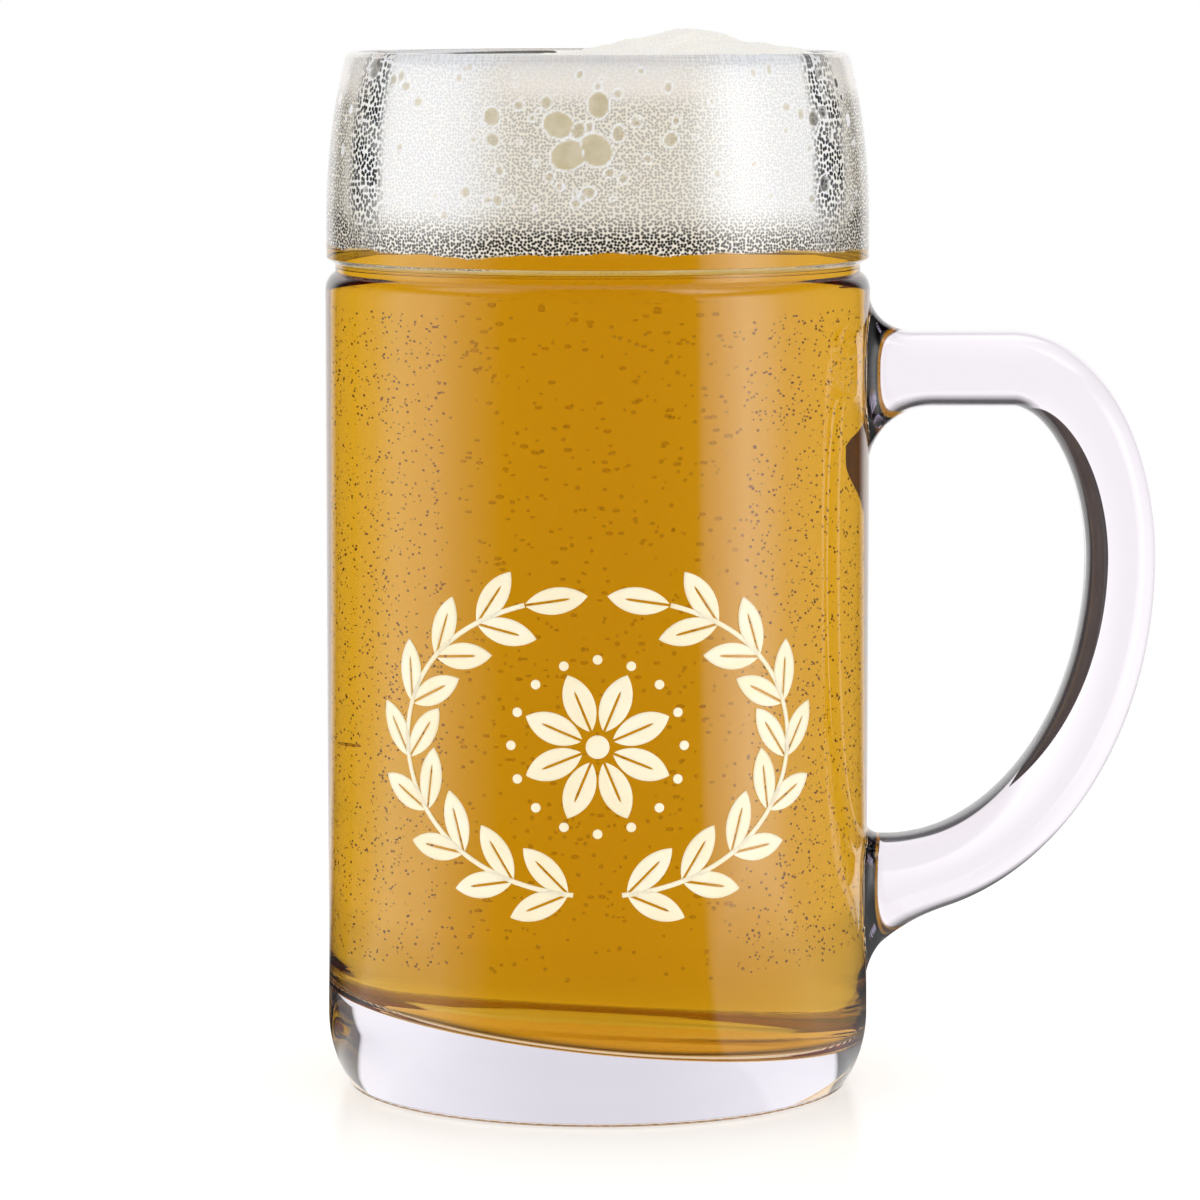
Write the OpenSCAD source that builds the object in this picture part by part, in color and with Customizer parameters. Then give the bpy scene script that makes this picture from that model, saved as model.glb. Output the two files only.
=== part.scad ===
// One-litre glass beer mug with a fused handle, filled with beer and topped with foam.
// Millimetres, +Z up. The origin is on the mug's axis, on the plane that it stands on.
// The handle points along +X and the printed ornament faces -Y.

/* [Barrel] */
// Height from the table to the rim
mug_h = 200; // [190:1:240]
// Outer diameter of the barrel
mug_d = 105; // [98:1:120]
// Glass thickness of the barrel wall
wall = 5.5; // [4.5:0.1:7]
// Glass under the drink, on the mug's axis
floor_t = 13.3; // [12:0.1:18]
// Lean of the inner floor in degrees, rising towards -X
floor_lean = 6; // [1:0.5:6]
// Rounding between the inner floor and the wall
floor_round = 8; // [6:0.5:11]
// Rounding of the foot outside
foot_round = 8; // [5:0.5:11]
// Diameter of the shallow hollow under the base
hollow_d = 76; // [50:1:80]
// Depth of the hollow under the base
hollow_h = 0.8; // [0.6:0.1:4]

/* [Lip and neck groove] */
// Height of the lip band, from its lower edge to the rim
lip_h = 40.4; // [36:0.2:46]
// How far the lip band lies behind the barrel's surface where it is widest
lip_inset = 0.25; // [0:0.05:1]
// Height of the lip band's straight part, above its lower edge
lip_straight = 8.4; // [6:0.2:14]
// Radius of the curve that draws the lip in towards the rim
lip_sweep = 130; // [110:1:180]
// Thickness of the glass below the rim
rim_t = 4; // [3:0.1:4.5]
// How far the fire-polished rim swells past the glass below it, on each side
rim_bead = 0.08; // [0.04:0.02:0.3]
// Height of the sloping flank between the neck groove and the lip band's face
lip_flank_h = 1; // [0.6:0.1:2]
// Rounding between the flank and the lip band's face
lip_edge_round = 0.3; // [0.2:0.05:0.5]
// Depth of the neck groove below the barrel's surface
groove_depth = 1.9; // [1.6:0.1:2.4]
// Height of the groove's flat bottom
groove_h = 1.1; // [0.8:0.1:2]
// Rounding of the barrel's shoulder below the groove
shoulder_round = 4; // [2.5:0.1:5]

/* [Handle] */
// Room for the fingers between the barrel and the grip
finger_room = 42; // [36:0.5:50]
// Depth of the upper arm's middle below the groove
handle_drop = 19.4; // [18:0.2:26]
// Height of the lower arm's middle above the table
handle_low_z = 40; // [36:0.5:46]
// Sideways reach of the upper bend
top_bend_w = 21.4; // [19:0.2:26]
// Height of the upper bend, from the arm's middle to the grip's furthest point
top_bend_h = 37; // [30:0.5:42]
// Level run of the lower arm between the wall and its bend
low_bend_run = 2.5; // [1:0.5:5]
// Thickness of the upper arm
top_arm_t = 14.6; // [13:0.1:16]
// Thickness of the grip
grip_t = 13.6; // [12:0.1:16]
// Thickness of the lower arm
low_arm_t = 16.2; // [14:0.1:18]
// Width of the handle, front to back
handle_w = 20; // [16:0.5:24]
// Squareness of the handle's section: 2 is an ellipse, more is boxier
handle_square = 2.6; // [2:0.1:4]
// Fillet above the upper root
fillet_high_top = 8.3; // [4:0.1:10]
// Fillet under the upper root
fillet_high_under = 12.3; // [5:0.1:14]
// Fillet above the lower root
fillet_low_top = 3; // [2:0.1:6]
// Fillet under the lower root
fillet_low_under = 13.3; // [5:0.1:15]
// Fillet at the sides of both roots
fillet_side = 4; // [2:0.1:6]
// Thickness that the fillets end with at the wall
fillet_edge = 0.3; // [0.2:0.05:0.6]

/* [Drink] */
// Height of the beer's surface above the table
fill_z = 163; // [140:0.5:170]
// Depth of the foam's edge below the rim
foam_drop = 3; // [1:0.5:8]
// Height of the foam's crown above the rim
crown_h = 5; // [2:0.5:9]
// Radius of the crown where it passes the rim's height
crown_r = 18; // [14:1:34]
// Distance of the crown's middle from the mug's axis, towards the handle
crown_x = 16; // [0:1:20]

/* [Printed ornament] */
// Thickness of the fired enamel
print_t = 0.2; // [0.1:0.05:0.5]
// Height of the ornament's middle above the table
print_z = 72.5; // [60:0.5:90]
// Half of the wreath's width, measured round the barrel
wreath_w = 39; // [30:0.5:42]
// Half of the wreath's height
wreath_h = 28; // [22:0.5:32]
// Number of leaf pairs on each branch of the wreath
leaf_pairs = 8; // [6:1:11]
// Length of a leaf
leaf_l = 12; // [7:0.5:13]
// Greatest width of a leaf
leaf_w = 5; // [3:0.1:5.5]
// Width of the bare vein along a leaf or petal
vein_w = 0.5; // [0.3:0.05:0.8]
// Distance of the vein's end from the tip
vein_end = 3.2; // [2:0.1:5]
// Angle between a leaf and its branch
leaf_turn = 34; // [20:1:45]
// Width of the branch's stem
stem_w = 0.9; // [0.6:0.1:1.4]
// Number of petals on the rosette
petals = 8; // [6:1:10]
// Length of a petal
petal_l = 11.5; // [8:0.5:13]
// Greatest width of a petal
petal_w = 5.6; // [4:0.1:5.8]
// Radius of the rosette's middle
rosette_r = 2.2; // [1.5:0.1:2.6]
// Clear space between the rosette's middle and its petals
petal_gap = 0.8; // [0.5:0.1:1.5]
// Radius of a dot in the rosette's ring
dot_r = 0.9; // [0.5:0.1:1.2]

/* [Fits] */
// Gap between glass and what is fused, printed or poured against it
seat_gap = 0.02; // [0.01:0.01:0.1]

/* [Hidden] */
$fn = 144;

// How far a cutting shape reaches past the surface that it cuts
over = 1;
body_r = mug_d / 2;
bore_r = body_r - wall;
lip_r = body_r - lip_inset;
groove_r = body_r - groove_depth;
lip_low_z = mug_h - lip_h;
shoulder_z = lip_low_z - groove_h;

// The lip's lower edge: how far its flank faces down, and the height of the round's middle
flank_angle = atan((lip_r - groove_r) / lip_flank_h);
lip_edge_z = lip_low_z + lip_flank_h + lip_edge_round * tan(flank_angle / 2);

// The lip's curve: its centre, and the angle at which the rim's round sits on it
sweep_z = lip_low_z + lip_straight;
sweep_x = lip_r - lip_sweep;
rim_r = rim_t / 2 + rim_bead;
rim_rise = mug_h - rim_r - sweep_z;
rim_sweep = lip_sweep - rim_t / 2;
rim_angle = asin(rim_rise / rim_sweep);
rim_x = sweep_x + rim_sweep * cos(rim_angle);

// The sphere that hollows the base
hollow_sphere_r = (hollow_d * hollow_d / 4 + hollow_h * hollow_h) / (2 * hollow_h);

// The leaning floor is cut by a turned cup, whose wall clears the bore's on the floor's high side
cup_wall_h = floor_round + over;
cup_r = (bore_r + (cup_wall_h + over) * sin(floor_lean)) / cos(floor_lean);
// The drink's straight sides start above the floor's highest edge
well_z = floor_t + bore_r * tan(floor_lean) + cup_wall_h;

// The handle's centreline
grip_x = body_r + finger_room + grip_t / 2;
high_z = shoulder_z - handle_drop;
grip_z = high_z - top_bend_h;
top_bend_x = grip_x - top_bend_w;
low_bend_x = body_r + low_bend_run;
low_bend_w = grip_x - low_bend_x;
low_bend_h = grip_z - handle_low_z;

// The rings of the handle's sweep
sides = 28;
root_rings = 7;
arm_rings = 3;
top_bend_rings = 14;
low_bend_rings = 20;
root_span = max(fillet_high_top, fillet_high_under, fillet_low_top, fillet_low_under, fillet_side);
root_half_w = handle_w / 2 + fillet_side;
root_sink = body_r - sqrt(body_r * body_r - root_half_w * root_half_w) + over;

// The foam's crown
crown_sphere_r = (crown_r * crown_r + crown_h * crown_h) / (2 * crown_h);

// The wreath's branches run from near the foot to near the top of an oval
branch_start = 8;
branch_end = 156;
dots = 2 * petals;
petal_start = rosette_r + petal_gap;
dot_ring_r = petal_start + petal_l + 2 * dot_r;

// What is left of a square's lower right corner outside the round of radius r
module corner(r) {
    difference() {
        translate([0, -over]) square(r + over);
        translate([0, r]) circle(r);
    }
}

// Half outline of the barrel, with its rounded foot and shoulder
module barrel_outline() {
    difference() {
        square([body_r, shoulder_z]);
        translate([body_r - foot_round, 0]) corner(foot_round);
        translate([body_r - shoulder_round, shoulder_z]) mirror([0, 1]) corner(shoulder_round);
        translate([0, hollow_h - hollow_sphere_r]) circle(hollow_sphere_r, $fn = 4 * $fn);
    }
}

// What is left of the lip band's lower edge outside its sloping flank and its round
module lip_edge() {
    round_x = lip_r - lip_edge_round;
    difference() {
        polygon([
            [groove_r - over * tan(flank_angle), lip_low_z - over],
            [lip_r + over, lip_low_z - over],
            [lip_r + over, lip_edge_z],
            [round_x, lip_edge_z],
            [round_x + lip_edge_round * cos(flank_angle), lip_edge_z - lip_edge_round * sin(flank_angle)]
        ]);
        translate([round_x, lip_edge_z]) circle(lip_edge_round);
    }
}

// Half outline of the lip band up to the rim's round, drawn in by the sweep
module lip_outline() {
    difference() {
        translate([0, lip_low_z]) square([lip_r, lip_straight]);
        lip_edge();
    }
    intersection() {
        translate([sweep_x, sweep_z]) circle(lip_sweep, $fn = 4 * $fn);
        translate([0, sweep_z - over]) square([lip_r, lip_h]);
        below_rim();
    }
}

// Everything below the line from the lip curve's centre through the rim's middle
module below_rim() {
    far = 2 * lip_sweep;
    polygon([
        [sweep_x, sweep_z - far],
        [sweep_x, sweep_z],
        [sweep_x + far * cos(rim_angle), sweep_z + far * sin(rim_angle)],
        [sweep_x + far, sweep_z - far]
    ]);
}

// Half outline of the bore between two heights, as much smaller as gap says
module bore_outline(low, high, gap = 0) {
    intersection() {
        translate([0, low]) square([bore_r - gap, high - low]);
        union() {
            translate([0, low - over]) square([lip_r, sweep_z - low + over]);
            translate([sweep_x, sweep_z]) circle(lip_sweep - rim_t - gap, $fn = 4 * $fn);
        }
    }
}

// The leaning floor's space: a cup with a round edge, opening upwards past the bore
module floor_cup(gap = 0) {
    flare = mug_h;
    translate([0, 0, floor_t + gap]) rotate([0, floor_lean, 0]) rotate_extrude() {
        translate([0, floor_round]) square([cup_r, over]);
        square([cup_r - floor_round, floor_round]);
        intersection() {
            translate([cup_r - floor_round, floor_round]) circle(floor_round);
            translate([cup_r - floor_round, 0]) square(floor_round);
        }
        polygon([
            [0, cup_wall_h],
            [cup_r, cup_wall_h],
            [cup_r + flare, cup_wall_h + flare],
            [0, cup_wall_h + flare]
        ]);
    }
}

// The lowest part of the drink's space, from the leaning floor up to a given height
module well(high, gap = 0) {
    intersection() {
        cylinder(r = bore_r - gap, h = high);
        floor_cup(gap);
    }
}

// The blown vessel: barrel, thick foot, neck groove, lip and rim in one glass
module mug_body() {
    color([0.90, 0.92, 0.94, 0.35]) difference() {
        rotate_extrude() {
            difference() {
                union() {
                    barrel_outline();
                    translate([0, shoulder_z - over]) square([groove_r, groove_h + 2 * over]);
                    lip_outline();
                }
                bore_outline(well_z, mug_h + over);
            }
            translate([rim_x, mug_h - rim_r]) circle(rim_r);
        }
        well(well_z + over);
    }
}

// Height of a round fillet of radius r at the distance d from the wall
function fillet(d, r) =
    let (t = max(0, d) + fillet_edge)
    t >= r ? 0 : r - sqrt(r * r - (r - t) * (r - t));

// A ring of the sweep: place, heading, outer and inner half thickness, half width
function station(x, z, heading, thick) =
    let (d = x - body_r, high = z > grip_z)
    [
        x, z, heading,
        thick / 2 + fillet(d, high ? fillet_high_top : fillet_low_under),
        thick / 2 + fillet(d, high ? fillet_high_under : fillet_low_top),
        handle_w / 2 + fillet(d, fillet_side)
    ];

// Distances of a root's rings from the wall, closer together near the wall
function root_steps() = [for (i = [0 : root_rings]) root_span * (1 - cos(90 * i / root_rings))];

function mix(a, b, share) = a + (b - a) * share;

// The lower bend is a quarter of an ellipse, and runs level inside its middle
function low_bend_angle(x) = x > low_bend_x ? acos((x - low_bend_x) / low_bend_w) : 90;
function low_station(x) =
    let (a = low_bend_angle(x))
    station(
        x, grip_z - low_bend_h * sin(a), atan2(-low_bend_h * cos(a), -low_bend_w * sin(a)),
        mix(grip_t, low_arm_t, pow(a / 90, 2))
    );

function handle_stations() =
    let (
        steps = root_steps(),
        arm_start = body_r + root_span,
        low_end = low_bend_angle(arm_start)
    )
    [
        station(body_r - root_sink, high_z, 0, top_arm_t),
        for (d = steps) station(body_r + d, high_z, 0, top_arm_t),
        for (i = [1 : arm_rings])
            station(mix(arm_start, top_bend_x, i / (arm_rings + 1)), high_z, 0, top_arm_t),
        for (i = [0 : top_bend_rings])
            let (a = 90 * i / top_bend_rings)
            station(
                top_bend_x + top_bend_w * sin(a), grip_z + top_bend_h * cos(a),
                atan2(-top_bend_h * sin(a), top_bend_w * cos(a)),
                mix(top_arm_t, grip_t, i / top_bend_rings)
            ),
        for (i = [1 : low_bend_rings - 1])
            low_station(low_bend_x + low_bend_w * cos(low_end * i / low_bend_rings)),
        for (i = [root_rings : -1 : 0]) low_station(body_r + steps[i]),
        low_station(body_r - root_sink)
    ];

// The points of one ring: a rounded square section across the heading
function ring_points(s) = [
    for (j = [0 : sides - 1])
        let (
            c = cos(360 * j / sides),
            n = sin(360 * j / sides),
            across = s[5] * sign(c) * pow(abs(c), 2 / handle_square),
            out = (n > 0 ? s[3] : s[4]) * sign(n) * pow(abs(n), 2 / handle_square)
        )
        [s[0] - sin(s[2]) * out, across, s[1] + cos(s[2]) * out]
];

// The handle: one gather of glass drawn into a loop and flared where it is fused on
module handle() {
    stations = handle_stations();
    last = len(stations) - 1;
    color([0.93, 0.92, 0.96, 0.4]) difference() {
        polyhedron(
            points = [for (s = stations) each ring_points(s)],
            faces = [
                [for (j = [0 : sides - 1]) j],
                for (i = [0 : last - 1], j = [0 : sides - 1])
                    let (a = i * sides + j, b = i * sides + (j + 1) % sides)
                    each [[a, a + sides, b + sides], [a, b + sides, b]],
                [for (j = [sides - 1 : -1 : 0]) last * sides + j]
            ],
            convexity = 6
        );
        cylinder(r = body_r + seat_gap, h = mug_h);
    }
}

// The beer, from the leaning floor to its surface
module beer() {
    color([0.77, 0.53, 0.06]) union() {
        well(well_z, seat_gap);
        rotate_extrude() bore_outline(well_z - over, fill_z, seat_gap);
    }
}

// The foam: a plug inside the lip with a crown that stands over the rim
module foam_head() {
    foam_low = fill_z + seat_gap;
    color([0.96, 0.94, 0.88]) intersection() {
        rotate_extrude() bore_outline(foam_low, mug_h + 2 * crown_h, seat_gap);
        union() {
            cylinder(r = body_r, h = mug_h - foam_drop);
            translate([crown_x, 0, mug_h + crown_h - crown_sphere_r]) sphere(crown_sphere_r);
        }
    }
}

// A pointed leaf of length l and width w along +X, between two equal arcs, with a bare vein
module leaf(l, w) {
    r = (l * l + w * w) / (4 * w);
    difference() {
        intersection() {
            translate([l / 2, r - w / 2]) circle(r);
            translate([l / 2, w / 2 - r]) circle(r);
        }
        translate([-over, -vein_w / 2]) square([l + over - vein_end, vein_w]);
    }
}

// Draws a flat shape through the wall's front, u round the barrel and v up from the ornament's
// middle, deep enough for a shape that reaches half to each side of that point
module on_wall(u, v, half) {
    front = body_r + seat_gap + print_t + over;
    depth = front + over - sqrt(body_r * body_r - half * half);
    rotate(u / body_r * 180 / PI) translate([0, -front, print_z + v]) rotate([-90, 180, 0])
        mirror([1, 0]) linear_extrude(depth) children();
}

// Turns even steps round a circle into about even steps along the wreath's oval
function even(a) = a - (wreath_w - wreath_h) / (wreath_w + wreath_h) * sin(2 * a) * 90 / PI;

// A point of the wreath's oval, at an angle from its foot
function wreath_point(a) = [wreath_w * sin(even(a)), -wreath_h * cos(even(a))];

// One branch of the wreath: leaf pairs along a stem, ending in a single leaf
module branch() {
    step = (branch_end - branch_start) / leaf_pairs;
    for (k = [0 : leaf_pairs]) {
        a = branch_start + step * k;
        p = wreath_point(a);
        ahead = wreath_point(a + step) - p;
        on_wall(p[0], p[1], leaf_l + stem_w) rotate(atan2(ahead[1], ahead[0])) {
            if (k < leaf_pairs) {
                translate([0, -stem_w / 2]) square([norm(ahead), stem_w]);
                for (turn = [-leaf_turn, leaf_turn])
                    translate([stem_w, 0]) rotate(turn) leaf(leaf_l, leaf_w);
            } else {
                leaf(leaf_l, leaf_w);
            }
        }
    }
}

// A round flower with a ring of dots
module rosette() {
    on_wall(0, 0, dot_ring_r + dot_r) {
        circle(rosette_r);
        for (k = [0 : petals - 1])
            rotate(360 * (k + 0.5) / petals) translate([petal_start, 0]) leaf(petal_l, petal_w);
        for (k = [0 : dots - 1]) rotate(360 * k / dots) translate([dot_ring_r, 0]) circle(dot_r);
    }
}

// The enamel print: a leaf wreath round a rosette, fired on the barrel's front
module printed_ornament() {
    color([0.96, 0.91, 0.78]) intersection() {
        union() {
            branch();
            mirror([1, 0, 0]) branch();
            rosette();
        }
        difference() {
            cylinder(r = body_r + seat_gap + print_t, h = mug_h);
            cylinder(r = body_r + seat_gap, h = mug_h);
        }
    }
}

mug_body();
handle();
beer();
foam_head();
printed_ornament();
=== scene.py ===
import bpy
import numpy as np
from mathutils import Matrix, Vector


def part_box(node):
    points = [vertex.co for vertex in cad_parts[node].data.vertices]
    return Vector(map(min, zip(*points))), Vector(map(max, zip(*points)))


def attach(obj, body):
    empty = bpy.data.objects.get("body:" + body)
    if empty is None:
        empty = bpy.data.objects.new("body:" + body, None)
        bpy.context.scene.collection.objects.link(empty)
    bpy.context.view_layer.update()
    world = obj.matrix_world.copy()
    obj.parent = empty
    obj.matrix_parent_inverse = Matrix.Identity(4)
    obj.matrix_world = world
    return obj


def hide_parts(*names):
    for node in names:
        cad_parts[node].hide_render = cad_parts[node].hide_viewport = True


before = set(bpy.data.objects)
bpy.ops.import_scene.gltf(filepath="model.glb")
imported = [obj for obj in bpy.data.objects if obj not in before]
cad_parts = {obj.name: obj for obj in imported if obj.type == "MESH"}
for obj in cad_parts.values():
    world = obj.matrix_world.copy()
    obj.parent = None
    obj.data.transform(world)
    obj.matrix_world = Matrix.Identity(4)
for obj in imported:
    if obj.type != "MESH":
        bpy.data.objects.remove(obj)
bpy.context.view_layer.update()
scene = bpy.context.scene
mm = 0.001  # shapes are worked out in millimetres, meshes are in metres
rng = np.random.default_rng(11)  # one seeded source for all that is scattered
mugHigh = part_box("mug_body")[1]  # the barrel's radius and the rim's height come from the frame
bodyR = round(mugHigh.x / mm, 2)
mugH = round(mugHigh.z / mm, 2)
print("frame loaded: barrel radius", bodyR, "mm, height", mugH, "mm")


# a dictionary whose values are read as attributes
class Values(dict):
    __getattr__ = dict.__getitem__


# sRGB hex to the linear colour that sockets take
def colour(text):
    raw = np.array([int(text[i:i + 2], 16) for i in (0, 2, 4)]) / 255
    linear = np.where(raw <= 0.04045, raw / 12.92, ((raw + 0.055) / 1.055) ** 2.4)
    return (*linear.tolist(), 1.0)


# smooth step: 0 below a, 1 above b, with level ends
def ease(a, b, x):
    t = np.clip((x - a) / (b - a), 0, 1)
    return t * t * (3 - 2 * t)


# the value that lies the share t of the way from a to b
def between(a, b, t):
    return a + (b - a) * t


# a sine of an angle whose waves crowd and spread: sin(n a + k sin(m a))
def bentSine(a, count, bend, bends):
    return np.sin(count * a + bend * np.sin(bends * a))


# points at a radius, an angle and a height: x = r sin a, y = -r cos a, and a = 0 faces the camera
def around(r, a, z):
    x, y = r * np.sin(a), -r * np.cos(a)
    return np.stack([x, y, np.broadcast_to(z, x.shape)], -1)


# and back: the points' radius and angle
def polar(points):
    x, y = points[..., 0], points[..., 1]
    return np.hypot(x, y), np.arctan2(x, -y)


# turns a profile of (r, z) rows about Z
def turn(profile, steps):
    return around(profile[:, :1], np.linspace(0, 2 * np.pi, steps, endpoint=False), profile[:, 1:])


# circle arc in the (r, z) plane: centre plus radius times cosine and sine of an angle in degrees
def arc(centreR, centreZ, radius, start, end, count):
    a = np.radians(np.linspace(start, end, count))
    return np.column_stack([centreR + radius * np.cos(a), centreZ + radius * np.sin(a)])


# straight run between two points, without its ends, so that runs and arcs join without doubles
def run(a, b, count):
    t = np.linspace(0, 1, count + 2)[1:-1, None]
    return np.array(a) * (1 - t) + np.array(b) * t


# quad faces of a grid: each point with its right, upper right and upper neighbour
def gridFaces(rows, cols, wrapCols=False, first=0):
    i = np.arange(rows - 1)[:, None]
    j = np.arange(cols if wrapCols else cols - 1)[None, :]
    k = (j + 1) % cols
    quads = np.stack([i * cols + j, i * cols + k, (i + 1) * cols + k, (i + 1) * cols + j], -1)
    return quads.reshape(-1, 4) + first


# faces of two like grids, one numbered after the other: front, back and the skirt round them
def slabFaces(rows, cols):
    n = rows * cols
    front = gridFaces(rows, cols)
    edge = np.concatenate([np.arange(cols), np.arange(1, rows) * cols + cols - 1,
                           n - 2 - np.arange(cols - 1), np.arange(rows - 2, 0, -1) * cols])
    after = np.roll(edge, -1)
    return [front, front[:, ::-1] + n, np.column_stack([edge, edge + n, after + n, after])]


# triangles from a pole point to a closed row of points that starts at the number first
def poleFaces(pole, first, cols, flipped=False):
    j = np.arange(cols)
    k = (j + 1) % cols
    a, b = (k, j) if flipped else (j, k)
    return np.column_stack([np.full(cols, pole), first + a, first + b])


# a disc as a square grid pulled round
def discGrid(radius, count):
    u, v = np.meshgrid(*[np.linspace(-1, 1, count)] * 2)
    return radius * np.stack([u * np.sqrt(1 - v * v / 2), v * np.sqrt(1 - u * u / 2)], -1)


def addObject(name, data):
    made = bpy.data.objects.new(name, data)
    scene.collection.objects.link(made)
    return made


# puts points in millimetres and a list of face arrays into a smooth mesh object at the origin
def meshObject(name, points, faces, material):
    mesh = bpy.data.meshes.new(name)
    allFaces = [face for block in faces for face in block.tolist()]
    mesh.from_pydata((np.asarray(points, float).reshape(-1, 3) * mm).tolist(), [], allFaces)
    mesh.polygons.foreach_set("use_smooth", np.ones(len(mesh.polygons), bool))
    mesh.materials.append(material)
    mesh.update()
    return addObject(name, mesh)


# a revolved grid laid flat, with one point each for its first and last row, the poles
def flatRows(grid):
    return np.concatenate([grid[:1, 0], grid[1:-1].reshape(-1, *grid.shape[2:]), grid[-1:, 0]])


# surface of revolution: closed rows of points between two poles
def revolveMesh(name, grid, material):
    rows, cols = grid.shape[0] - 2, grid.shape[1]
    faces = [gridFaces(rows, cols, True, 1), poleFaces(0, 1, cols, True),
             poleFaces(1 + rows * cols, 1 + (rows - 1) * cols, cols)]
    return meshObject(name, flatRows(grid), faces, material)


# gives a piece a value or a vector at each point
def setValues(piece, name, values):
    values = np.asarray(values, np.float32)
    kind, key = ("FLOAT_VECTOR", "vector") if values.ndim > 1 else ("FLOAT", "value")
    piece.data.attributes.new(name, kind, "POINT").data.foreach_set(key, values.ravel())


# one node with its settings, its links from sockets or nodes' first outputs, and a ramp's grey stops
def addNode(tree, kind, settings=None, links=None, stops=()):
    node = tree.nodes.new("ShaderNode" + kind)
    for key, value in (settings or {}).items():
        if isinstance(key, str) and hasattr(node, key):
            setattr(node, key, value)
        else:
            node.inputs[key].default_value = value
    for key, source in (links or {}).items():
        if isinstance(source, bpy.types.Node):
            source = next(output for output in source.outputs if output.enabled)
        tree.links.new(source, node.inputs[key])
    for i, (position, level) in enumerate(stops):
        stop = node.color_ramp.elements[i] if i < 2 else node.color_ramp.elements.new(1.0)
        stop.position, stop.color = position, (level, level, level, 1)
    return node


def newMaterial(name):
    material = bpy.data.materials.new(name)
    material.use_nodes = True
    material.node_tree.nodes.clear()
    return material, material.node_tree


# clear bodies let lamp and diffuse rays straight through, so that what is inside them is lit
def clearOutput(tree, shader, tint, volume):
    path = addNode(tree, "LightPath")
    straight = addNode(tree, "Math", {"operation": "MAXIMUM"},
                       {0: path.outputs["Is Shadow Ray"], 1: path.outputs["Is Diffuse Ray"]})
    through = addNode(tree, "BsdfTransparent", {"Color": colour(tint)})
    mixed = addNode(tree, "MixShader", None, {0: straight, 1: shader, 2: through})
    absorb = addNode(tree, "VolumeAbsorption", volume)
    addNode(tree, "OutputMaterial", None, {"Surface": mixed, "Volume": absorb})


glassIndex, beerIndex = 1.52, 1.34
pureWhite = (1, 1, 1, 1)
rgba = {"data_type": "RGBA"}
clearBody = {"Roughness": 0.0, "Transmission Weight": 1.0}


# pressed soda-lime glass: fire-polished, so clear and sharp, with a slow ripple from the mould
def sodaGlass(name, absorption):
    material, tree = newMaterial(name)
    place = addNode(tree, "TexCoord")
    ripple = addNode(tree, "TexNoise", {"Scale": 1 / (22 * mm), "Detail": 1.0},
                     {"Vector": place.outputs["Object"]})
    bump = addNode(tree, "Bump", {"Strength": 0.06, "Distance": 0.4 * mm}, {"Height": ripple})
    index = addNode(tree, "Attribute", {"attribute_name": "index"})  # lower on fused and wetted faces
    glass = addNode(tree, "BsdfPrincipled", {**clearBody, "Base Color": pureWhite, "IOR": glassIndex},
                    {"Normal": bump, "IOR": index.outputs["Fac"]})
    clearOutput(tree, glass, "F6F6F8", absorption)
    return material


# lager: a clear liquid that swallows blue first, then green, so that deep paths turn amber
def lager():
    material, tree = newMaterial("lager")
    index = addNode(tree, "Attribute", {"attribute_name": "index"})  # 1 where it wets the glass
    liquid = addNode(tree, "BsdfPrincipled", {**clearBody, "Base Color": colour("FFE4BC"), "IOR": beerIndex},
                     {"IOR": index.outputs["Fac"]})
    clearOutput(tree, liquid, "FFFFFF", {"Color": colour("F4E800"), "Density": 60.0})
    return material


# gas bubbles: tiny clear beads, tinted darker than the drink round them as painted shade for the dark rims of
# real bubbles, and fainter where they are soft
def gasBubble():
    material, tree = newMaterial("gas_bubble")
    # painted shade: the beads' dark tint stands for the rims that bent light makes dark on real bubbles
    bead = addNode(tree, "BsdfPrincipled", {**clearBody, "Base Color": colour("B4944C"), "IOR": beerIndex})
    soft = addNode(tree, "Attribute", {"attribute_name": "soft"})
    through = addNode(tree, "BsdfTransparent", {"Color": pureWhite})
    faint = addNode(tree, "MixShader", None, {0: soft.outputs["Fac"], 1: bead, 2: through})
    clearOutput(tree, faint, "F4E6BE", {"Color": pureWhite, "Density": 0.0})
    return material
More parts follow.
